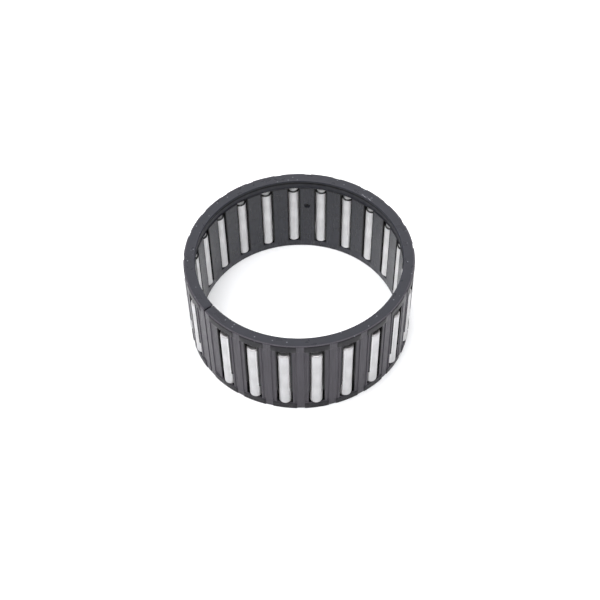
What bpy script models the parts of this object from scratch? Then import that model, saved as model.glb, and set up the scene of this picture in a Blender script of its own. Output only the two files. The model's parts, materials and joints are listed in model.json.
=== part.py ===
"""Split needle roller and cage assembly, 40 x 45 x 20 mm: one moulded cage and its loose needle rollers.

The bearing's axis is +Z and the origin is its centre. The cage is split at -Y, halfway between its first and
last needles, and the whole assembly is symmetric about the YZ plane.
"""

import bpy
import bmesh
from math import cos, pi, radians, sin
from mathutils import Matrix

# Driving dimensions, in metres and degrees
SHAFT_DIAMETER = 0.040          # circle inside the needles
HOUSING_DIAMETER = 0.045        # circle around the needles
NEEDLE_COUNT = 22
NEEDLE_PITCH = 15.9             # angle between neighbouring needles
CAGE_WIDTH = 0.0197
RIM_OUTER_RADIUS = 0.02234
BAR_OUTER_RADIUS = 0.0222       # bars and the strips across the rims lie just inside the rims
BAR_GROOVE_RADIUS = 0.02205
CAGE_INNER_RADIUS = 0.0202
LIP_INNER_RADIUS = 0.02008      # lip around the inside of the top face
RECESS_RADIUS = 0.02034         # shallow recess below that lip
LIP_HEIGHT = 0.00045
LEDGE_Z = 0.0077                # bottom of the recess
EDGE_CHAMFER = 0.0002

POCKET_LENGTH = 0.0163
POCKET_WIDTH = 0.0031
OUTER_SLOT_WIDTH = 0.00246      # both slots between the retaining lips are narrower than a needle
INNER_SLOT_WIDTH = 0.00224
POCKET_INNER_RADIUS = 0.0205
POCKET_OUTER_RADIUS = 0.02195
POCKET_INNER_TOP = 0.0076       # inside the needles' pitch circle a pocket ends just below the recess
OUTER_LIP_BOTTOM = -0.0041      # outer lips stop above the lower end of their pocket

BAR_RECESS_LENGTH = 0.0165
BAR_RECESS_WIDTH = 0.0035       # just wider than a bar, so that it opens into both pockets
STRIP_WIDTH = 0.00145
GROOVE_LENGTH = 0.0162
GROOVE_WIDTH = 0.0004
GROOVE_OFFSET = 0.00093
WEB_RECESS_WIDTH = 0.00755
WEB_STRIP_WIDTH = 0.0029
WEB_GROOVE_WIDTH = 0.0013
WEB_GROOVE_OFFSET = 0.0022
SPLIT_GAP = 0.0003

DIMPLE_BAR = 13                 # bar that carries the moulding dimple, counted from the split
DIMPLE_RADIUS = 0.00062
DIMPLE_TAPER = 0.3
DIMPLE_DEPTH = 0.0003
DIMPLE_Z = 0.0025

NEEDLE_LENGTH = 0.0149
NEEDLE_END_CLEARANCE = 0.0001   # needles rest near the lower end of their pockets
NEEDLE_END_ROUNDING = 0.0003

RING_STEPS = 72
NEEDLE_SIDES = 20
FAR = 0.002                     # how far a cutter reaches past the surface it opens
POCKET_OVERLAP = 0.0003         # how far the inner part of a pocket's cutter reaches into its outer part

NEEDLE_DIAMETER = (HOUSING_DIAMETER - SHAFT_DIAMETER) / 2
PITCH_RADIUS = (HOUSING_DIAMETER + SHAFT_DIAMETER) / 4
SPLIT_ANGLE = -90
FIRST_NEEDLE_ANGLE = SPLIT_ANGLE + (360 - NEEDLE_PITCH * (NEEDLE_COUNT - 1)) / 2
TOP = CAGE_WIDTH / 2


def clear_scene():
    for obj in list(bpy.data.objects):
        bpy.data.objects.remove(obj, do_unlink=True)


def make_collection(name):
    collection = bpy.data.collections.new(name)
    bpy.context.scene.collection.children.link(collection)
    return collection


def make_material(name, color, roughness, metallic):
    material = bpy.data.materials.new(name)
    material.use_nodes = True
    shader = material.node_tree.nodes["Principled BSDF"]
    shader.inputs["Base Color"].default_value = (*color, 1)
    shader.inputs["Roughness"].default_value = roughness
    shader.inputs["Metallic"].default_value = metallic
    material.diffuse_color = (*color, 1)
    return material


def needle_angle(index):
    return FIRST_NEEDLE_ANGLE + NEEDLE_PITCH * index


def bar_angle(index):
    return needle_angle(index) + NEEDLE_PITCH / 2


def mesh_object(name, bm, collection):
    mesh = bpy.data.meshes.new(name)
    bm.to_mesh(mesh)
    bm.free()
    obj = bpy.data.objects.new(name, mesh)
    collection.objects.link(obj)
    return obj


def make_block(name, radius, tangent, height, collection):
    """Block at angle 0 that spans (from, to) along the radius, the tangent and the height."""
    bm = bmesh.new()
    bmesh.ops.create_cube(bm, size=2)
    for vert in bm.verts:
        vert.co = [span[side > 0] for side, span in zip(vert.co, (radius, tangent, height))]
    return mesh_object(name, bm, collection)


def middle_span(width):
    return (-width / 2, width / 2)


def side_span(side, offset, width):
    return tuple(sorted((side * (offset - width / 2), side * (offset + width / 2))))


def joined_mesh(blocks):
    """Joins overlapping blocks into one closed mesh, and removes the blocks."""
    for block in blocks[1:]:
        joint = blocks[0].modifiers.new(block.name, "BOOLEAN")
        joint.operation = "UNION"
        joint.solver = "EXACT"
        joint.object = block
    depsgraph = bpy.context.evaluated_depsgraph_get()
    mesh = bpy.data.meshes.new_from_object(blocks[0].evaluated_get(depsgraph))
    for block in blocks:
        bpy.data.objects.remove(block)
    bm = bmesh.new()
    bm.from_mesh(mesh)
    bmesh.ops.dissolve_limit(bm, angle_limit=radians(1), verts=bm.verts, edges=bm.edges)
    bm.to_mesh(mesh)
    bm.free()
    return mesh


def add_turned(bm, mesh, angle):
    """Adds a copy of a mesh, turned about the bearing's axis."""
    copy = mesh.copy()
    copy.transform(Matrix.Rotation(radians(angle), 4, "Z"))
    bm.from_mesh(copy)
    bpy.data.meshes.remove(copy)


def cage_profile():
    """Closed section of the cage: down the outside, in along the bottom, up the inside."""
    lip_bottom = TOP - LIP_HEIGHT
    step = EDGE_CHAMFER / 2
    return [
        (RIM_OUTER_RADIUS - EDGE_CHAMFER, TOP),
        (RIM_OUTER_RADIUS, TOP - EDGE_CHAMFER),
        (RIM_OUTER_RADIUS, -TOP + EDGE_CHAMFER),
        (RIM_OUTER_RADIUS - EDGE_CHAMFER, -TOP),
        (CAGE_INNER_RADIUS + EDGE_CHAMFER, -TOP),
        (CAGE_INNER_RADIUS, -TOP + EDGE_CHAMFER),
        (CAGE_INNER_RADIUS, LEDGE_Z),
        (RECESS_RADIUS, LEDGE_Z + step),
        (RECESS_RADIUS, lip_bottom - step),
        (LIP_INNER_RADIUS, lip_bottom),
        (LIP_INNER_RADIUS, TOP - EDGE_CHAMFER),
        (LIP_INNER_RADIUS + EDGE_CHAMFER, TOP),
    ]


def make_ring(collection):
    bm = bmesh.new()
    corners = [bm.verts.new((radius, 0, z)) for radius, z in cage_profile()]
    for start, end in zip(corners, corners[1:] + corners[:1]):
        bm.edges.new((start, end))
    ring = mesh_object("cage", bm, collection)
    screw = ring.modifiers.new("turned", "SCREW")
    screw.steps = RING_STEPS
    screw.render_steps = RING_STEPS
    screw.use_merge_vertices = True
    screw.merge_threshold = 0.000001
    return ring


def bar_cutter(recess_width, strip_width, groove_offset, groove_width, collection):
    """Outer relief of a bar: a shallow recess, a strip carried across both rims, and two grooves."""
    floor = (BAR_OUTER_RADIUS, RIM_OUTER_RADIUS + FAR)
    groove_floor = (BAR_GROOVE_RADIUS, RIM_OUTER_RADIUS + FAR)
    recess_height = middle_span(BAR_RECESS_LENGTH)
    strip_height = middle_span(CAGE_WIDTH + FAR)
    groove_height = middle_span(GROOVE_LENGTH)
    blocks = [
        make_block("recess", floor, middle_span(recess_width), recess_height, collection),
        make_block("strip", floor, middle_span(strip_width), strip_height, collection),
    ]
    for side in (-1, 1):
        tangent = side_span(side, groove_offset, groove_width)
        blocks.append(make_block("groove", groove_floor, tangent, groove_height, collection))
    return joined_mesh(blocks)


def pocket_cutter(collection):
    """Needle pocket: full width inside the wall, narrowed by inner and outer lips that retain the needle."""
    end = POCKET_LENGTH / 2
    past_pitch_circle = PITCH_RADIUS + POCKET_OVERLAP
    outside = RIM_OUTER_RADIUS + FAR
    inner_height = (-end, POCKET_INNER_TOP)
    full = middle_span(POCKET_WIDTH)
    inner_slot = middle_span(INNER_SLOT_WIDTH)
    outer_slot = middle_span(OUTER_SLOT_WIDTH)
    spans = [
        ((LIP_INNER_RADIUS - FAR, past_pitch_circle), inner_slot, inner_height),
        ((POCKET_INNER_RADIUS, past_pitch_circle), full, inner_height),
        ((PITCH_RADIUS, outside), outer_slot, (-end, end)),
        ((PITCH_RADIUS, POCKET_OUTER_RADIUS), full, (-end, end)),
        ((PITCH_RADIUS, outside), full, (-end, OUTER_LIP_BOTTOM)),
    ]
    return joined_mesh([make_block("pocket", *span, collection) for span in spans])


def make_bar_cutters(collection):
    bm = bmesh.new()
    bar = bar_cutter(BAR_RECESS_WIDTH, STRIP_WIDTH, GROOVE_OFFSET, GROOVE_WIDTH, collection)
    for index in range(NEEDLE_COUNT - 1):
        add_turned(bm, bar, bar_angle(index))
    web = bar_cutter(WEB_RECESS_WIDTH, WEB_STRIP_WIDTH, WEB_GROOVE_OFFSET, WEB_GROOVE_WIDTH, collection)
    add_turned(bm, web, SPLIT_ANGLE)
    return mesh_object("bar_reliefs", bm, collection)


def make_pocket_cutters(collection):
    bm = bmesh.new()
    pocket = pocket_cutter(collection)
    for index in range(NEEDLE_COUNT):
        add_turned(bm, pocket, needle_angle(index))
    return mesh_object("needle_pockets", bm, collection)


def make_split_cutter(collection):
    radius = (LIP_INNER_RADIUS - FAR, RIM_OUTER_RADIUS + FAR)
    block = make_block("split", radius, middle_span(SPLIT_GAP), middle_span(CAGE_WIDTH + FAR), collection)
    block.rotation_euler = (0, 0, radians(SPLIT_ANGLE))
    return block


def make_dimple_cutter(collection):
    """Round moulding dimple on the inner face of one bar."""
    bm = bmesh.new()
    bmesh.ops.create_cone(
        bm,
        cap_ends=True,
        segments=12,
        radius1=DIMPLE_RADIUS * (1 + DIMPLE_TAPER),
        radius2=DIMPLE_RADIUS * (1 - DIMPLE_TAPER),
        depth=DIMPLE_DEPTH * 2,
    )
    dimple = mesh_object("moulding_dimple", bm, collection)
    angle = radians(bar_angle(DIMPLE_BAR))
    dimple.location = (CAGE_INNER_RADIUS * cos(angle), CAGE_INNER_RADIUS * sin(angle), DIMPLE_Z)
    dimple.rotation_euler = (0, pi / 2, angle)
    return dimple


def make_cage(collection, cutters, material):
    ring = make_ring(collection)
    for cutter in (
        make_bar_cutters(cutters),
        make_pocket_cutters(cutters),
        make_split_cutter(cutters),
        make_dimple_cutter(cutters),
    ):
        cutter.hide_render = True
        cutter.display_type = "WIRE"
        cut = ring.modifiers.new(cutter.name, "BOOLEAN")
        cut.operation = "DIFFERENCE"
        cut.solver = "EXACT"
        cut.object = cutter
    ring.data.materials.append(material)
    return ring


def make_needle_mesh(material):
    """Needle roller with its rounded ends, along Z."""
    bm = bmesh.new()
    bmesh.ops.create_cone(
        bm,
        cap_ends=True,
        segments=NEEDLE_SIDES,
        radius1=NEEDLE_DIAMETER / 2,
        radius2=NEEDLE_DIAMETER / 2,
        depth=NEEDLE_LENGTH,
    )
    mesh = bpy.data.meshes.new("needle")
    bm.to_mesh(mesh)
    bm.free()
    mesh.materials.append(material)
    mesh.shade_smooth()
    mesh.set_sharp_from_angle(angle=radians(40))
    return mesh


def make_needles(collection, material):
    mesh = make_needle_mesh(material)
    height = -POCKET_LENGTH / 2 + NEEDLE_END_CLEARANCE + NEEDLE_LENGTH / 2
    for index in range(NEEDLE_COUNT):
        angle = radians(needle_angle(index))
        needle = bpy.data.objects.new(f"needle_{index + 1:02d}", mesh)
        needle.location = (PITCH_RADIUS * cos(angle), PITCH_RADIUS * sin(angle), height)
        needle.rotation_euler = (0, 0, angle)
        rounding = needle.modifiers.new("rounded_ends", "BEVEL")
        rounding.width = NEEDLE_END_ROUNDING
        rounding.segments = 1
        rounding.limit_method = "ANGLE"
        rounding.angle_limit = radians(60)
        collection.objects.link(needle)


def main():
    clear_scene()
    parts = make_collection("needle_roller_bearing")
    cutters = make_collection("cutters")
    plastic = make_material("charcoal_plastic", (0.045, 0.045, 0.052), 0.5, 0.0)
    steel = make_material("bearing_steel", (0.72, 0.72, 0.74), 0.25, 1.0)
    make_cage(parts, cutters, plastic)
    make_needles(parts, steel)


main()
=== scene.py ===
"""Looks for the split needle roller and cage assembly: moulded cage, steel needles and a white table.

Lengths are in millimetres, and become metres where a mesh, an object or a light is made.
"""

import json
from math import atan2, cos, degrees, hypot, pi, radians, sin, sqrt

import bmesh
import bpy
from mathutils import Matrix, Quaternion, Vector


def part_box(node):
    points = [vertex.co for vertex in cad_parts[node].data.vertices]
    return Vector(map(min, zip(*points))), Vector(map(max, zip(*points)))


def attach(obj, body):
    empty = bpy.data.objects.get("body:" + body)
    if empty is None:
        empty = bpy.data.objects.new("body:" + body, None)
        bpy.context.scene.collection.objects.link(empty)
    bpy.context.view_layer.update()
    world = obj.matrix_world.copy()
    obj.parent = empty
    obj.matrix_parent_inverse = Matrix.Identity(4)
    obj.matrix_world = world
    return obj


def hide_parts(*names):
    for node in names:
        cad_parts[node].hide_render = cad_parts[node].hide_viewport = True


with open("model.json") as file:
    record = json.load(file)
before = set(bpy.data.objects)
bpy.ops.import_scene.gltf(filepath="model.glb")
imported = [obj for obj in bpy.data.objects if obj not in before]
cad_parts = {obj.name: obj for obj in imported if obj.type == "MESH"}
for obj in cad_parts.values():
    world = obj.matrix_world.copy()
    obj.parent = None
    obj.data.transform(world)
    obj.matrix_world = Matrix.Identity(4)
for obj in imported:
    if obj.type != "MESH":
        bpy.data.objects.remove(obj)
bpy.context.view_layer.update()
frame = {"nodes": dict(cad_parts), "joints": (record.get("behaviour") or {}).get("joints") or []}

MM = 0.001

# The cage's and needles' places, read from the frame
CAGE_LOW, CAGE_HIGH = (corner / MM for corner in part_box("cage"))
NEEDLES = sorted(name for name in frame["nodes"] if name.startswith("needle_"))
NEEDLE_LOW, NEEDLE_HIGH = (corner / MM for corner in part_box(NEEDLES[0]))
AXES = {joint["child"]: Vector(joint["pos_m"]) / MM for joint in frame["joints"]}
NEEDLE_ANGLES = [degrees(atan2(AXES[name].y, AXES[name].x)) for name in NEEDLES]
PITCH_RADIUS = hypot(*AXES[NEEDLES[0]].xy)
PITCH_ANGLE = (NEEDLE_ANGLES[1] - NEEDLE_ANGLES[0]) % 360
SPLIT_ANGLE = -90
WEB_HALF_ANGLE = NEEDLE_ANGLES[0] - SPLIT_ANGLE - PITCH_ANGLE / 2   # half of the wide bar at the split

# Section of the cage: radii, and heights above its middle, as in the CAD cage
FACE_INSET = 0.001                # keeps the cage's faces just inside the CAD cage's
RIM_INSET = 0.02
TOP = CAGE_HIGH.z - FACE_INSET
RIM_RADIUS = CAGE_HIGH.x - RIM_INSET
LIP_RADIUS = 20.08
INNER_RADIUS = 20.2
RECESS_RADIUS = 20.34
POCKET_INNER_RADIUS = 20.5
POCKET_OUTER_RADIUS = 21.95
GROOVE_RADIUS = 22.05
BAR_RADIUS = 22.2
LIP_BOTTOM = TOP - 0.45
LEDGE = 7.7
BAR_END = 8.25
GROOVE_END = 8.1
POCKET_END = 8.15
POCKET_INNER_TOP = 7.6            # inside the pitch circle, a pocket ends just below the recess
OUTER_LIP_BOTTOM = -4.1           # below this the pocket is open to its full width

# Half widths of the pockets, bars and grooves, and the edges' roundings
POCKET_HALF = 1.55
OUTER_SLOT_HALF = 1.23
INNER_SLOT_HALF = 1.12
STRIP_HALF = 0.725
GROOVE_HALF = 1.13
WEB_STRIP_HALF = 1.45
WEB_STRIP_MIDDLE = 0.55 * WEB_STRIP_HALF
WEB_GROOVE_HALF = 2.85
SPLIT_HALF = 0.15
RIM_ROUNDING = 0.2
EDGE_BEVEL = 0.05
BEVEL_ANGLE = 40

# The rims' roundings fade out towards the middle of the wall
OUTER_FADE_START = 21.2
INNER_FADE_START = 20.9
ROUNDING_FADE = 0.7

# Moulding dimple in the inner face of one bar, counted from the split
DIMPLE_BAR = 13
DIMPLE_RADIUS = 0.62
DIMPLE_DEPTH = 0.3
DIMPLE_HEIGHT = 2.5
DIMPLE_SIDES = 32

# Needles, whose radius is 3 microns less than the CAD needles'
NEEDLE_RADIUS = 1.247
NEEDLE_HALF = (NEEDLE_HIGH.z - NEEDLE_LOW.z) / 2
NEEDLE_ROUNDING = 0.3
NEEDLE_SIDES = 48

# Colours of the cage
PLAIN_DARK = (0.0145, 0.0148, 0.020, 1)
PLAIN_LIGHT = (0.0275, 0.0282, 0.037, 1)
DRAWN_DARK = (0.027, 0.0245, 0.031, 1)
DRAWN_LIGHT = (0.082, 0.075, 0.090, 1)
# Painted shade: the rims' outer faces are far darker than the bars, mottled between these two
RIM_SHADE_DARK = (0.004, 0.0033, 0.0058, 1)
RIM_SHADE_LIGHT = (0.009, 0.0077, 0.0118, 1)
INNER_DARK = (0.002, 0.003, 0.010, 1)
INNER_LIGHT = (0.008, 0.009, 0.019, 1)
# Painted shade, on the pockets' walls and mouths, along the bore's ledge and under its lip
SHADE = (0.0015, 0.0013, 0.002, 1)
# Pale line along the lip's edge: partly wear, partly a painted highlight
LIP_WEAR_AND_HIGHLIGHT = (0.075, 0.074, 0.082, 1)
# Scuff on the top face: partly scratches, partly a painted highlight
SCUFF_AND_GLINT = (0.3, 0.3, 0.33, 1)
DUST = (0.1, 0.104, 0.12, 1)

# Colours of the needles and the table
# Painted light on the needles: paler towards the bore (INNER) than outward (OUTER); LIGHT and DARK are random
# patches
STEEL_INNER_LIGHT = (0.71, 0.705, 0.71, 1)
STEEL_INNER_DARK = (0.61, 0.605, 0.61, 1)
STEEL_OUTER_LIGHT = (0.56, 0.555, 0.565, 1)
STEEL_OUTER_DARK = (0.47, 0.467, 0.472, 1)
# Painted highlight on a needle's side, away from its middle line
STEEL_SIDE_HIGHLIGHT = (0.95, 0.945, 0.95, 1)
# Painted light and shade on the needles' ends: the inward half has a highlighted face and a shaded rounded
# edge, the outward half a shaded face and a lighter edge
INWARD_CAP_FACE_HIGHLIGHT = (0.9, 0.9, 0.91, 1)
INWARD_CAP_EDGE_SHADE = (0.03, 0.03, 0.032, 1)
OUTWARD_CAP_FACE_SHADE = (0.3, 0.29, 0.3, 1)
OUTWARD_CAP_EDGE_LIGHT = (0.5, 0.49, 0.5, 1)
TABLE_DARK = (0.945, 0.95, 0.965, 1)
TABLE_LIGHT = (0.96, 0.965, 0.98, 1)

# Finishes: roughness from low to high, what a mask adds to it, and how deep the bumps are
PLAIN_ROUGHNESS = (0.26, 0.36)
DRAWN_ROUGHNESS = (0.3, 0.5)
INNER_ROUGHNESS = (0.24, 0.36)
STEEL_ROUGHNESS = (0.44, 0.54)
TABLE_ROUGHNESS = 0.6
RIM_DULLNESS = 0.12
SHADE_DULLNESS = 0.35
INNER_SHADE_DULLNESS = 0.4
RECESS_DULLNESS = 0.2
SCUFF_DULLNESS = 0.1
MOTTLE_DEPTH = 0.006
GRAIN_DEPTH = 0.004
STREAK_DEPTH = 0.04
CAGE_IOR = 1.29
INNER_IOR = 1.46
STEEL_METALLIC = 0.65

# Noise scales per metre, and the parts of a noise's range that its ramps use
MOTTLE_SCALE = 420
GRAIN_SCALE = 5200
LIP_WEAR_AND_HIGHLIGHT_SCALE = 900
DUST_SCALE = 1100
GRINDING_SCALE = 420
SCUFF_SCALE = 150
CLOUD_SCALE = 260
TABLE_SCALE = 9
NOISE_MIDDLE = (0.35, 0.65)
NOISE_WIDE = (0.3, 0.7)
CLOUD_RANGE = (0.35, 0.7)
SCRATCH_RANGE = (0.52, 0.62)
STEEL_SCUFF_RANGE = (0.55, 0.75)
DUST_CHANCE = (0.6, 0.62)
DUST_REACH = (0.2, 0.1)           # in Voronoi cells

# Places of the cage's marks, painted shadows and painted highlight
ARC_RADIUS = 22.3                 # distances around the ring are measured at this radius
ARC_PER_DEGREE = ARC_RADIUS * pi / 180
MOUTH_HALF = 1.42                 # half width of the shadow at a pocket's opening
SOFT = 0.1                        # width over which shadows change, also in degrees
SCUFF_AND_GLINT_ANGLE = 100.5
SCUFF_AND_GLINT_HALF = 1.7
SCUFF_AND_GLINT_FADE = 0.8
SCUFF_AND_GLINT_INNER_RADIUS = 20.6
SCUFF_AND_GLINT_OUTER_RADIUS = 20.75
# Painted shadow under the lip, from LIP_LINE_BOTTOM up to the lip
LIP_LINE_BOTTOM = 8.65            # dark line between here and the lip

# Places of the needles' painted light and shade
# painted highlight: a needle's side is painted brighter from SIDE_START to SIDE_FULL, and less so below the
# outer lips
SIDE_START = 0.7                  # a needle is brighter further than this from its middle line
SIDE_FULL = 1.0
LOW_SIDE = 0.35                   # share of that brightness below the outer lips
# painted light: between these radii a needle goes from its paler inward tone to its darker outward tone
INWARD_END = PITCH_RADIUS - 0.3
OUTWARD_START = PITCH_RADIUS + 0.5

# Camera, seen from above the front right of the split
CAMERA_AZIMUTH = 53.0
CAMERA_ELEVATION = 50.23
CAMERA_DISTANCE = 219.9
CAMERA_AIM = (0.05, -2.51, 0)
CAMERA_ROLL = -0.8855
CAMERA_LENS = 66.1
CAMERA_SENSOR = 36
CAMERA_CLIP = 10

# Soft panels: azimuth from the camera's, elevation, distance, size and radiance
PANELS = {
    "back_panel": (180, 46, 800, (900, 600), 2.3),
    "front_panel": (0, 72, 800, (600, 400), 7.0),
    "left_panel": (-90, 50, 700, (600, 500), 2.6),
    "low_left_panel": (-140, 20, 600, (400, 300), 0.3),
    "low_right_panel": (140, 20, 600, (400, 300), 1.4),
    "ring_panel": (0, 88, 450, (300, 300), 3.0),
}

# The surroundings are bright at the horizon and dark above
HORIZON_LIGHT = 1.05
SKY_LIGHT = 0.04
HORIZON_END = 0.02
SKY_START = 0.35

TABLE_RADIUS = 400
TABLE_SIDES = 64
BORE_MATERIAL = 1                 # index of the cage's second material


# ---------------------------------------------------------------- node helpers

class Nodes:
    """Short way to build a material's node tree."""

    def __init__(self, name):
        self.material = bpy.data.materials.new(name)
        self.material.use_nodes = True
        self.tree = self.material.node_tree
        self.shader = self.tree.nodes["Principled BSDF"]

    def add(self, kind, inputs=None, **settings):
        node = self.tree.nodes.new(kind)
        for key, value in settings.items():
            setattr(node, key, value)
        for key, value in (inputs or {}).items():
            self.put(node.inputs[key], value)
        return node

    def put(self, socket, value):
        if isinstance(value, bpy.types.NodeSocket):
            self.tree.links.new(value, socket)
        else:
            socket.default_value = value

    def math(self, operation, *values, clamp=False):
        node = self.add("ShaderNodeMath", operation=operation, use_clamp=clamp)
        for socket, value in zip(node.inputs, values):
            self.put(socket, value)
        return node.outputs[0]

    def product(self, first, *others):
        for other in others:
            first = self.math("MULTIPLY", first, other)
        return first

    def length(self, x, y):
        return self.math("SQRT", self.math("ADD", self.product(x, x), self.product(y, y)))

    def ramp(self, value, low, high, to_low=0.0, to_high=1.0):
        ends = {"Value": value, "From Min": low, "From Max": high, "To Min": to_low, "To Max": to_high}
        return self.add("ShaderNodeMapRange", ends, interpolation_type="SMOOTHSTEP").outputs["Result"]

    def noise(self, vector, scale, detail):
        inputs = {"Vector": vector, "Scale": scale, "Detail": detail, "Roughness": 0.55}
        return self.add("ShaderNodeTexNoise", inputs).outputs["Fac"]

    def drawn_noise(self, stretches, scale, detail):
        """Noise over three pairs of coordinate and factor. A small factor draws its marks out that way."""
        x, y, z = (self.product(value, factor) for value, factor in stretches)
        vector = self.add("ShaderNodeCombineXYZ", {0: x, 1: y, 2: z}).outputs[0]
        return self.noise(vector, scale, detail)

    def mix(self, factor, first, second):
        node = self.add("ShaderNodeMix", data_type="RGBA")
        self.put(node.inputs[0], factor)
        self.put(node.inputs[6], first)
        self.put(node.inputs[7], second)
        return node.outputs[2]

    def mix_numbers(self, factor, first, second):
        node = self.add("ShaderNodeMix", data_type="FLOAT")
        self.put(node.inputs[0], factor)
        self.put(node.inputs[2], first)
        self.put(node.inputs[3], second)
        return node.outputs[0]

    def bump(self, height, depth, strength, normal=None):
        node = self.add("ShaderNodeBump", {"Height": height, "Distance": depth * MM, "Strength": strength})
        if normal is not None:
            self.put(node.inputs["Normal"], normal)
        return node.outputs["Normal"]

    def finish(self, color, roughness, normal=None):
        self.put(self.shader.inputs["Base Color"], color)
        self.put(self.shader.inputs["Roughness"], roughness)
        if normal is not None:
            self.put(self.shader.inputs["Normal"], normal)
        return self.material


# ------------------------------------------------------------ places on the ring

def object_place(nodes):
    return nodes.add("ShaderNodeTexCoord").outputs["Object"]


def ring_coordinates(nodes, place):
    """Position on the ring: distance around it, radius and height."""
    x, y, z = nodes.add("ShaderNodeSeparateXYZ", {0: place}).outputs
    around = nodes.product(nodes.math("ARCTAN2", y, x), ARC_RADIUS)
    return around, nodes.product(nodes.length(x, y), 1 / MM), nodes.product(z, 1 / MM)


def angle_from_split(nodes, around):
    angle = nodes.math("DIVIDE", around, ARC_PER_DEGREE)
    return nodes.math("FLOORED_MODULO", nodes.math("SUBTRACT", angle, SPLIT_ANGLE), 360)


def beside_needle(nodes, around, radius):
    """Distance to either side of the middle of the nearest needle."""
    turn = nodes.math("SUBTRACT", angle_from_split(nodes, around), WEB_HALF_ANGLE)
    step = nodes.math("FLOORED_MODULO", turn, PITCH_ANGLE)
    aside = nodes.math("ABSOLUTE", nodes.math("SUBTRACT", step, PITCH_ANGLE / 2))
    return nodes.product(aside, pi / 180, radius)


def pocket_mouth(nodes, around, radius, height):
    """Mask of the narrow strips beside the pockets' openings, which lie in shadow."""
    turn = angle_from_split(nodes, around)
    end = 360 - WEB_HALF_ANGLE
    inner_share = nodes.ramp(radius, PITCH_RADIUS - 0.15, PITCH_RADIUS - 0.05)
    return nodes.product(
        nodes.ramp(beside_needle(nodes, around, radius), MOUTH_HALF, MOUTH_HALF - SOFT),
        nodes.ramp(nodes.math("ABSOLUTE", height), POCKET_END + 0.01, POCKET_END - 0.05),
        nodes.ramp(turn, WEB_HALF_ANGLE, WEB_HALF_ANGLE + SOFT),
        nodes.ramp(turn, end, end - SOFT),
        nodes.ramp(height, POCKET_INNER_TOP - 0.02, POCKET_INNER_TOP + 0.04, 1.0, inner_share),
    )


def pocket_walls(nodes, radius, height):
    """Mask of the pockets' side and end walls, which are painted in shade."""
    return nodes.product(
        nodes.ramp(radius, POCKET_INNER_RADIUS - 0.08, POCKET_INNER_RADIUS),
        nodes.ramp(radius, POCKET_OUTER_RADIUS + 0.08, POCKET_OUTER_RADIUS + 0.01),
        nodes.ramp(nodes.math("ABSOLUTE", height), POCKET_END + 0.25, POCKET_END + 0.05),
    )


def bore_shade_lines(nodes, height):
    """Mask of the painted shade lines at the recess's ledge and under the lip."""
    ledge = nodes.product(
        nodes.ramp(height, LEDGE - 0.3, LEDGE - 0.2),
        nodes.ramp(height, LEDGE + 0.04, LEDGE + 0.01),
    )
    under_lip = nodes.product(
        nodes.ramp(height, LIP_LINE_BOTTOM, LIP_LINE_BOTTOM + 0.2),
        nodes.ramp(height, LIP_BOTTOM + 0.06, LIP_BOTTOM + 0.02),
    )
    return nodes.math("MAXIMUM", ledge, under_lip)


# --------------------------------------------------------------- cage's materials

def inner_material():
    """The cage's bore and recess: smooth and dark, and glossier at a glance than the outside."""
    nodes = Nodes("charcoal_polyamide_bore")
    place = object_place(nodes)
    around, radius, height = ring_coordinates(nodes, place)
    mottle = nodes.noise(place, MOTTLE_SCALE, 5)
    brushed = nodes.drawn_noise(((around, 4.0), (height, 0.1), (2, 1)), 1.0, 3)
    tone = nodes.product(nodes.math("ADD", mottle, brushed), 0.5)
    # painted shade at the pockets' mouths, along the ledge and under the lip
    shade = nodes.math(
        "MAXIMUM",
        pocket_mouth(nodes, around, radius, height),
        nodes.product(bore_shade_lines(nodes, height), 0.8),
    )
    color = nodes.mix(nodes.ramp(tone, *NOISE_MIDDLE), INNER_DARK, INNER_LIGHT)
    rough = nodes.ramp(tone, *NOISE_MIDDLE, *INNER_ROUGHNESS)
    rough = nodes.math("ADD", rough, nodes.product(shade, INNER_SHADE_DULLNESS), clamp=True)
    rough = nodes.math("ADD", rough, nodes.ramp(height, LEDGE, LEDGE + SOFT, 0.0, RECESS_DULLNESS))
    nodes.shader.inputs["IOR"].default_value = INNER_IOR
    return nodes.finish(nodes.mix(shade, color, SHADE), rough, nodes.bump(mottle, MOTTLE_DEPTH, 0.4))


def lip_wear_and_highlight(nodes, place, radius, height):
    """Mask of the pale, uneven line along the lip's edge: partly wear, partly a painted highlight."""
    return nodes.product(
        nodes.ramp(radius, RECESS_RADIUS, RECESS_RADIUS - 0.08),
        nodes.ramp(height, TOP - 0.4, TOP - 0.2),
        nodes.ramp(nodes.noise(place, LIP_WEAR_AND_HIGHLIGHT_SCALE, 4), *NOISE_MIDDLE, 0.25, 1.0),
    )


def scuff_and_glint_marks(nodes, around, radius, height):
    """Mask of one scuff on the top face, beside the lip: partly scratches, partly a painted highlight."""
    scratch = nodes.drawn_noise(((around, 1.3), (radius, 9), (3, 1)), 1.0, 3)
    away = nodes.math("ABSOLUTE", nodes.math("SUBTRACT", around, SCUFF_AND_GLINT_ANGLE * ARC_PER_DEGREE))
    return nodes.product(
        nodes.ramp(scratch, *SCRATCH_RANGE),
        nodes.ramp(height, TOP - 0.15, TOP - 0.05),
        nodes.ramp(away, SCUFF_AND_GLINT_HALF, SCUFF_AND_GLINT_HALF - SCUFF_AND_GLINT_FADE),
        nodes.ramp(radius, SCUFF_AND_GLINT_OUTER_RADIUS, SCUFF_AND_GLINT_INNER_RADIUS),
    )


def dust_specks(nodes, place, height):
    """Mask of small specks on the top face, around some of a Voronoi pattern's points."""
    pattern = nodes.add("ShaderNodeTexVoronoi", {"Vector": place, "Scale": DUST_SCALE})
    chance = nodes.add("ShaderNodeSeparateColor", {"Color": pattern.outputs["Color"]}).outputs[0]
    return nodes.product(
        nodes.ramp(pattern.outputs["Distance"], *DUST_REACH),
        nodes.ramp(chance, *DUST_CHANCE),
        nodes.ramp(height, TOP - 0.25, TOP - 0.15),
    )


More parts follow.
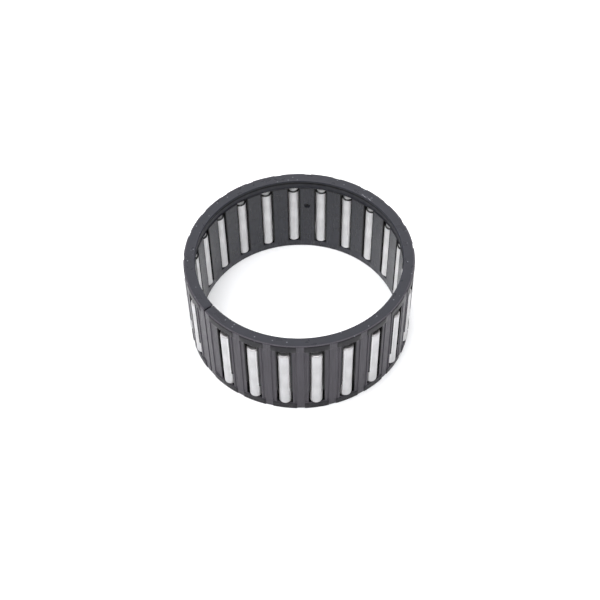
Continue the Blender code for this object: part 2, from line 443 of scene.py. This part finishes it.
def cage_material():
    """Charcoal polyamide: faintly mottled, smooth on the rims, with draw marks on the outside of the bars,
    and painted shade on the rims' outer faces and in the pockets.
    """
    nodes = Nodes("charcoal_polyamide")
    place = object_place(nodes)
    around, radius, height = ring_coordinates(nodes, place)
    mottle = nodes.noise(place, MOTTLE_SCALE, 5)
    grain = nodes.noise(place, GRAIN_SCALE, 3)
    streaks = nodes.drawn_noise(((around, 5.0), (height, 0.12), (0, 1)), 1.0, 4)
    fine_streaks = nodes.drawn_noise(((around, 17.0), (height, 0.35), (4, 1)), 1.0, 3)
    rim = nodes.ramp(radius, BAR_RADIUS + 0.02, BAR_RADIUS + 0.08)
    off_rim = nodes.math("SUBTRACT", 1.0, rim)
    drawn = nodes.product(nodes.ramp(radius, POCKET_OUTER_RADIUS + 0.01, POCKET_OUTER_RADIUS + 0.07), off_rim)
    walls = pocket_walls(nodes, radius, height)
    shade = nodes.math("MAXIMUM", walls, pocket_mouth(nodes, around, radius, height))

    plain = nodes.mix(mottle, PLAIN_DARK, PLAIN_LIGHT)
    color = nodes.mix(drawn, plain, nodes.mix(streaks, DRAWN_DARK, DRAWN_LIGHT))
    # painted shade: the rims' outer faces are painted darker than the bars
    color = nodes.mix(rim, color, nodes.mix(mottle, RIM_SHADE_DARK, RIM_SHADE_LIGHT))
    # the lip's pale edge: partly wear, partly a painted highlight
    color = nodes.mix(lip_wear_and_highlight(nodes, place, radius, height), color, LIP_WEAR_AND_HIGHLIGHT)
    # the scuff: partly scratches, partly a painted highlight
    color = nodes.mix(scuff_and_glint_marks(nodes, around, radius, height), color, SCUFF_AND_GLINT)
    color = nodes.mix(dust_specks(nodes, place, height), color, DUST)
    color = nodes.mix(shade, color, SHADE)

    rough_plain = nodes.ramp(mottle, *NOISE_WIDE, *PLAIN_ROUGHNESS)
    rough_drawn = nodes.ramp(fine_streaks, *NOISE_WIDE, *DRAWN_ROUGHNESS)
    rough = nodes.mix_numbers(drawn, rough_plain, rough_drawn)
    dull = nodes.math("MAXIMUM", nodes.product(shade, SHADE_DULLNESS), nodes.product(rim, RIM_DULLNESS))
    rough = nodes.math("ADD", rough, dull, clamp=True)

    streak_height = nodes.product(nodes.math("ADD", streaks, fine_streaks), drawn)
    normal = nodes.bump(streak_height, STREAK_DEPTH, 0.7, nodes.bump(grain, GRAIN_DEPTH, 0.5))
    nodes.shader.inputs["IOR"].default_value = CAGE_IOR
    return nodes.finish(color, rough, normal)


# ------------------------------------------------- needles' and table's materials

def steel_tone(nodes, place):
    """Colour of a needle's side, with painted light: paler where it faces the bore than where it faces
    outward, and a painted highlight towards its edges. Also how far outward it faces. Both follow the ring,
    not the needle.
    """
    position = nodes.add("ShaderNodeNewGeometry").outputs["Position"]
    around, radius, height = ring_coordinates(nodes, position)
    outward = nodes.ramp(radius, INWARD_END, OUTWARD_START)
    side = nodes.product(
        nodes.ramp(beside_needle(nodes, around, radius), SIDE_START, SIDE_FULL),
        nodes.ramp(height, OUTER_LIP_BOTTOM - 0.3, OUTER_LIP_BOTTOM + 0.2, LOW_SIDE, 1.0),
    )
    patches = nodes.ramp(nodes.noise(place, CLOUD_SCALE, 3), *CLOUD_RANGE)
    inner = nodes.mix(patches, STEEL_INNER_LIGHT, STEEL_INNER_DARK)
    outer = nodes.mix(patches, STEEL_OUTER_LIGHT, STEEL_OUTER_DARK)
    return nodes.mix(side, nodes.mix(outward, inner, outer), STEEL_SIDE_HIGHLIGHT), outward


def steel_caps(nodes, x, y, z, outward):
    """Mask of the needle's two ends, and their colour, all painted light and shade: on the inward half a face
    painted as a highlight in a darker rounded edge painted in shade, and on the outward half a face painted
    in shade in a paler rounded edge.
    """
    flat_end = NEEDLE_HALF - NEEDLE_ROUNDING
    core = NEEDLE_RADIUS - NEEDLE_ROUNDING
    level = nodes.product(nodes.math("ABSOLUTE", z), 1 / MM)
    radius = nodes.product(nodes.length(x, y), 1 / MM)
    face = nodes.ramp(radius, core + 0.06, core)
    inner = nodes.mix(face, INWARD_CAP_EDGE_SHADE, INWARD_CAP_FACE_HIGHLIGHT)
    outer = nodes.mix(face, OUTWARD_CAP_EDGE_LIGHT, OUTWARD_CAP_FACE_SHADE)
    return nodes.ramp(level, flat_end - 0.02, flat_end + 0.02), nodes.mix(outward, inner, outer)


def steel_material():
    """Ground bearing steel: bright, with faint marks around the needle and a few along it."""
    nodes = Nodes("ground_bearing_steel")
    place = object_place(nodes)
    own = nodes.add("ShaderNodeObjectInfo").outputs["Random"]
    x, y, z = nodes.add("ShaderNodeSeparateXYZ", {0: place}).outputs
    grinding = nodes.drawn_noise(((x, 1), (nodes.math("ADD", y, own), 1), (z, 26)), GRINDING_SCALE, 4)
    scuffs = nodes.drawn_noise(((x, 9), (y, 9), (nodes.math("ADD", z, own), 1)), SCUFF_SCALE, 3)
    tone, outward = steel_tone(nodes, place)
    ends, caps = steel_caps(nodes, x, y, z, outward)
    ground = nodes.ramp(grinding, *NOISE_WIDE, *STEEL_ROUGHNESS)
    rough = nodes.math("ADD", ground, nodes.ramp(scuffs, *STEEL_SCUFF_RANGE, 0.0, SCUFF_DULLNESS))
    nodes.shader.inputs["Metallic"].default_value = STEEL_METALLIC
    return nodes.finish(nodes.mix(ends, tone, caps), rough, nodes.bump(grinding, GRAIN_DEPTH, 0.5))


def table_material():
    nodes = Nodes("white_table")
    tone = nodes.noise(object_place(nodes), TABLE_SCALE, 2)
    return nodes.finish(nodes.mix(tone, TABLE_DARK, TABLE_LIGHT), TABLE_ROUGHNESS)


# ------------------------------------------------------------------------ cage

class Line:
    """One of the upright lines of the cage's grid, offset sideways from a needle's or bar's middle."""

    def __init__(self, angle, offset):
        self.angle = angle
        self.offset = offset

    def point(self, radius, height):
        flat = Vector((sqrt(radius * radius - self.offset * self.offset), self.offset, height))
        return Matrix.Rotation(radians(self.angle), 3, "Z") @ flat


def around_ring():
    """Lines once around the ring from one side of the split to the other, and what lies between each two."""
    bar = [
        (-GROOVE_HALF, "groove"),
        (-STRIP_HALF, "strip"),
        (0, "strip"),
        (STRIP_HALF, "groove"),
        (GROOVE_HALF, "lip"),
    ]
    pocket = [
        (-POCKET_HALF, "side"),
        (-OUTER_SLOT_HALF, "margin"),
        (-INNER_SLOT_HALF, "slot"),
        (-INNER_SLOT_HALF / 2, "slot"),
        (0, "slot"),
        (INNER_SLOT_HALF / 2, "slot"),
        (INNER_SLOT_HALF, "margin"),
        (OUTER_SLOT_HALF, "side"),
        (POCKET_HALF, "lip"),
    ]
    web = [
        (SPLIT_HALF, "strip"),
        (WEB_STRIP_MIDDLE, "strip"),
        (WEB_STRIP_HALF, "groove"),
        ((WEB_STRIP_HALF + WEB_GROOVE_HALF) / 2, "groove"),
        (WEB_GROOVE_HALF, "lip"),
    ]
    lines, kinds = [], []

    def follow(angle, stops):
        for offset, kind in stops:
            lines.append(Line(angle, offset))
            kinds.append(kind)

    follow(SPLIT_ANGLE, web)
    for index, angle in enumerate(NEEDLE_ANGLES):
        follow(angle, pocket)
        if index + 1 < len(NEEDLE_ANGLES):
            turn = (NEEDLE_ANGLES[index + 1] - angle) % 360
            follow(angle + turn / 2, bar)
    inward_kinds = [kind for offset, kind in reversed(web[:-1])] + ["end"]
    follow(SPLIT_ANGLE, [(-offset, kind) for (offset, _), kind in zip(reversed(web), inward_kinds)])
    return lines, kinds[:-1]


def is_solid(kind, radius, height):
    """Whether the cage has material at the middle of a grid cell."""
    level = abs(height)
    if radius < INNER_RADIUS:
        return height > LIP_BOTTOM
    if radius < RECESS_RADIUS and LEDGE < height < LIP_BOTTOM:
        return False
    if kind in ("slot", "margin", "side") and level < POCKET_END:
        if radius < PITCH_RADIUS and height > POCKET_INNER_TOP:
            return True
        if kind == "slot":
            return False
        if radius < POCKET_INNER_RADIUS:
            return True
        return kind == "side" and radius > POCKET_OUTER_RADIUS and height > OUTER_LIP_BOTTOM
    if kind == "strip":
        return radius < BAR_RADIUS
    if kind == "groove" and level < GROOVE_END:
        return radius < GROOVE_RADIUS
    if kind in ("groove", "lip") and level < BAR_END:
        return radius < BAR_RADIUS
    return True


def rounded(radius, height):
    """Draws the grid in along the rims' outer and inner edges, so that they are round."""
    outer_share = min(max((radius - OUTER_FADE_START) / ROUNDING_FADE, 0), 1)
    inner_share = min(max((INNER_FADE_START - radius) / ROUNDING_FADE, 0), 1)
    depth = abs(height) - (TOP - RIM_ROUNDING)
    if depth > 0:
        pull = RIM_ROUNDING - sqrt(max(RIM_ROUNDING * RIM_ROUNDING - depth * depth, 0))
        radius += (inner_share - outer_share) * pull
    return radius


def dimple_ring(bm, turn, slope):
    """One circle of the dimple's lens, where slope is 90 degrees at its rim and 0 at its middle."""
    reach = DIMPLE_RADIUS * sin(radians(slope))
    depth = DIMPLE_DEPTH * cos(radians(slope))
    face_slope = (INNER_RADIUS - sqrt(INNER_RADIUS * INNER_RADIUS - STRIP_HALF * STRIP_HALF)) / STRIP_HALF
    verts = []
    for step in range(DIMPLE_SIDES):
        angle = 2 * pi * step / DIMPLE_SIDES
        aside = reach * sin(angle)
        radius = INNER_RADIUS - face_slope * abs(aside) + depth
        point = Vector((radius, aside, DIMPLE_HEIGHT + reach * cos(angle)))
        verts.append(bm.verts.new(turn @ point * MM))
    return verts


def add_dimple(bm, below, above, angle):
    """Fills the two inner faces beside a bar's middle line, and sinks the dimple in them."""
    turn = Matrix.Rotation(radians(angle), 3, "Z")
    rings = [dimple_ring(bm, turn, slope) for slope in (90, 75, 60, 45, 30, 15)]
    middle = bm.verts.new(turn @ Vector((INNER_RADIUS + DIMPLE_DEPTH, 0, DIMPLE_HEIGHT)) * MM)
    rim = rings[0] + rings[0][:1]
    half = DIMPLE_SIDES // 2
    bm.faces.new([below[1], below[2], above[2], above[1]] + rim[:half + 1]).material_index = BORE_MATERIAL
    bm.faces.new([above[1], above[0], below[0], below[1]] + rim[half:]).material_index = BORE_MATERIAL
    for step in range(DIMPLE_SIDES):
        after = (step + 1) % DIMPLE_SIDES
        for outer, inner in zip(rings, rings[1:]):
            bm.faces.new((outer[step], outer[after], inner[after], inner[step]))
        bm.faces.new((rings[-1][step], rings[-1][after], middle))


def cage_mesh():
    lines, kinds = around_ring()
    radii = [LIP_RADIUS, INNER_RADIUS, RECESS_RADIUS, POCKET_INNER_RADIUS, PITCH_RADIUS,
             POCKET_OUTER_RADIUS, GROOVE_RADIUS, BAR_RADIUS, RIM_RADIUS]
    rim_arc = [TOP - RIM_ROUNDING * (1 - sin(radians(turn))) for turn in (0, 30, 60, 90)]
    upper = [POCKET_END, GROOVE_END, BAR_END] + rim_arc
    single = [POCKET_INNER_TOP, LEDGE, LIP_BOTTOM, OUTER_LIP_BOTTOM, 0.0]
    heights = sorted([-height for height in upper] + upper + single)
    bm = bmesh.new()
    verts = {}

    def vert(i, j, k):
        if (i, j, k) not in verts:
            radius = rounded(radii[j], heights[k])
            verts[i, j, k] = bm.verts.new(lines[i].point(radius, heights[k]) * MM)
        return verts[i, j, k]

    cells = set()
    for i, kind in enumerate(kinds):
        for j in range(len(radii) - 1):
            for k in range(len(heights) - 1):
                if is_solid(kind, (radii[j] + radii[j + 1]) / 2, (heights[k] + heights[k + 1]) / 2):
                    cells.add((i, j, k))
    sides = [
        ((1, 0, 0), ((1, 0, 0), (1, 0, 1), (1, 1, 1), (1, 1, 0))),
        ((-1, 0, 0), ((0, 0, 0), (0, 1, 0), (0, 1, 1), (0, 0, 1))),
        ((0, 1, 0), ((0, 1, 0), (1, 1, 0), (1, 1, 1), (0, 1, 1))),
        ((0, -1, 0), ((0, 0, 0), (0, 0, 1), (1, 0, 1), (1, 0, 0))),
        ((0, 0, 1), ((0, 0, 1), (0, 1, 1), (1, 1, 1), (1, 0, 1))),
        ((0, 0, -1), ((0, 0, 0), (1, 0, 0), (1, 1, 0), (0, 1, 0))),
    ]
    angle = NEEDLE_ANGLES[DIMPLE_BAR] + PITCH_ANGLE / 2
    middle = next(i for i, line in enumerate(lines) if line.offset == 0 and abs(line.angle - angle) < 1)
    j = radii.index(INNER_RADIUS)
    k = heights.index(0.0)
    below, above = ([vert(i, j, level) for i in (middle - 1, middle, middle + 1)] for level in (k, k + 1))
    add_dimple(bm, below, above, angle)
    dimpled = [((i, j, k), (0, -1, 0)) for i in (middle - 1, middle)]
    for cell in sorted(cells):
        for step, corners in sides:
            if tuple(a + b for a, b in zip(cell, step)) not in cells and (cell, step) not in dimpled:
                face = bm.faces.new([vert(*(a + b for a, b in zip(cell, corner))) for corner in corners])
                if step == (0, -1, 0) and radii[cell[1]] < POCKET_INNER_RADIUS:
                    face.material_index = BORE_MATERIAL
    bmesh.ops.recalc_face_normals(bm, faces=bm.faces)
    return bm


def new_object(name, bm, smooth=True):
    mesh = bpy.data.meshes.new(name)
    bm.to_mesh(mesh)
    bm.free()
    if smooth:
        mesh.shade_smooth()
    made = bpy.data.objects.new(name, mesh)
    bpy.context.scene.collection.objects.link(made)
    return made


def make_cage():
    cage = new_object("moulded_cage", cage_mesh())
    cage.data.materials.append(cage_material())
    cage.data.materials.append(inner_material())
    bevel = cage.modifiers.new("worn_edges", "BEVEL")
    bevel.width = EDGE_BEVEL * MM
    bevel.segments = 2
    bevel.limit_method = "ANGLE"
    bevel.angle_limit = radians(BEVEL_ANGLE)
    bevel.use_clamp_overlap = False
    even = cage.modifiers.new("even_shading", "WEIGHTED_NORMAL")
    even.keep_sharp = True
    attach(cage, "cage")
    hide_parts("cage")


# --------------------------------------------------------------------- needles

def needle_profile():
    """Half section of a needle, from the middle of its lower end to the middle of its upper end."""
    half = NEEDLE_HALF
    core = NEEDLE_RADIUS - NEEDLE_ROUNDING
    arc = [radians(turn) for turn in range(0, 91, 15)]
    upper = [(core + NEEDLE_ROUNDING * cos(a), half - NEEDLE_ROUNDING * (1 - sin(a))) for a in arc]
    lower = [(radius, -height) for radius, height in reversed(upper)]
    return [(0, -half), (core / 2, -half)] + lower + upper + [(core / 2, half), (0, half)]


def needle_mesh():
    bm = bmesh.new()
    points = [bm.verts.new(Vector((radius, 0, height)) * MM) for radius, height in needle_profile()]
    geom = points + [bm.edges.new(pair) for pair in zip(points, points[1:])]
    turn = {"cent": (0, 0, 0), "axis": (0, 0, 1), "angle": 2 * pi, "steps": NEEDLE_SIDES}
    bmesh.ops.spin(bm, geom=geom, use_merge=True, **turn)
    bmesh.ops.remove_doubles(bm, verts=bm.verts, dist=0.0001 * MM)
    bmesh.ops.recalc_face_normals(bm, faces=bm.faces)
    mesh = bpy.data.meshes.new("needle_roller")
    bm.to_mesh(mesh)
    bm.free()
    mesh.shade_smooth()
    mesh.materials.append(steel_material())
    return mesh


def make_needles():
    mesh = needle_mesh()
    middle = (NEEDLE_HIGH.z + NEEDLE_LOW.z) / 2
    for number, (name, angle) in enumerate(zip(NEEDLES, NEEDLE_ANGLES), start=1):
        needle = bpy.data.objects.new(f"needle_roller_{number:02d}", mesh)
        needle.location = Vector((AXES[name].x, AXES[name].y, middle)) * MM
        needle.rotation_euler.z = radians(angle)
        bpy.context.scene.collection.objects.link(needle)
        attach(needle, name)
        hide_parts(name)


# ----------------------------------------------------------------------- stage

def make_table():
    bm = bmesh.new()
    bmesh.ops.create_circle(bm, cap_ends=True, segments=TABLE_SIDES, radius=TABLE_RADIUS * MM)
    table = new_object("table", bm, smooth=False)
    table.location.z = CAGE_LOW.z * MM
    table.data.materials.append(table_material())


def direction(azimuth, elevation):
    turn, rise = radians(azimuth), radians(elevation)
    return Vector((sin(turn) * cos(rise), -cos(turn) * cos(rise), sin(rise)))


def add_panel(name, azimuth, elevation, distance, size, radiance):
    data = bpy.data.lights.new(name, "AREA")
    data.shape = "RECTANGLE"
    data.size = size[0] * MM
    data.size_y = size[1] * MM
    data.energy = radiance * pi * data.size * data.size_y
    panel = bpy.data.objects.new(name, data)
    panel.location = direction(azimuth, elevation) * distance * MM
    panel.rotation_euler = (-panel.location).to_track_quat("-Z", "Y").to_euler()
    bpy.context.scene.collection.objects.link(panel)


def make_surroundings():
    world = bpy.data.worlds.new("light_tent")
    world.use_nodes = True
    tree = world.node_tree
    background = tree.nodes["Background"]
    heading = tree.nodes.new("ShaderNodeTexCoord")
    split = tree.nodes.new("ShaderNodeSeparateXYZ")
    fade = tree.nodes.new("ShaderNodeMapRange")
    fade.interpolation_type = "SMOOTHSTEP"
    ends = {"From Min": HORIZON_END, "From Max": SKY_START, "To Min": HORIZON_LIGHT, "To Max": SKY_LIGHT}
    for key, number in ends.items():
        fade.inputs[key].default_value = number
    background.inputs["Color"].default_value = (1, 1, 1, 1)
    tree.links.new(heading.outputs["Generated"], split.inputs[0])
    tree.links.new(split.outputs["Z"], fade.inputs["Value"])
    tree.links.new(fade.outputs["Result"], background.inputs["Strength"])
    bpy.context.scene.world = world


def make_lights():
    make_surroundings()
    for name, (azimuth, elevation, distance, size, radiance) in PANELS.items():
        add_panel(name, CAMERA_AZIMUTH + azimuth, elevation, distance, size, radiance)


def make_camera():
    data = bpy.data.cameras.new("camera")
    data.lens = CAMERA_LENS
    data.sensor_width = CAMERA_SENSOR
    data.clip_start = CAMERA_CLIP * MM
    camera = bpy.data.objects.new("camera", data)
    bpy.context.scene.collection.objects.link(camera)
    place = direction(CAMERA_AZIMUTH, CAMERA_ELEVATION) * CAMERA_DISTANCE
    level = (-place).to_track_quat("-Z", "Y")
    facing = (level @ Vector(CAMERA_AIM) - place).to_track_quat("-Z", "Y")
    camera.location = place * MM
    camera.rotation_mode = "QUATERNION"
    camera.rotation_quaternion = facing @ Quaternion((0, 0, 1), radians(CAMERA_ROLL))
    bpy.context.scene.camera = camera


def main():
    bpy.context.scene.view_settings.view_transform = "Standard"
    make_camera()
    make_lights()
    make_table()
    make_cage()
    make_needles()


main()
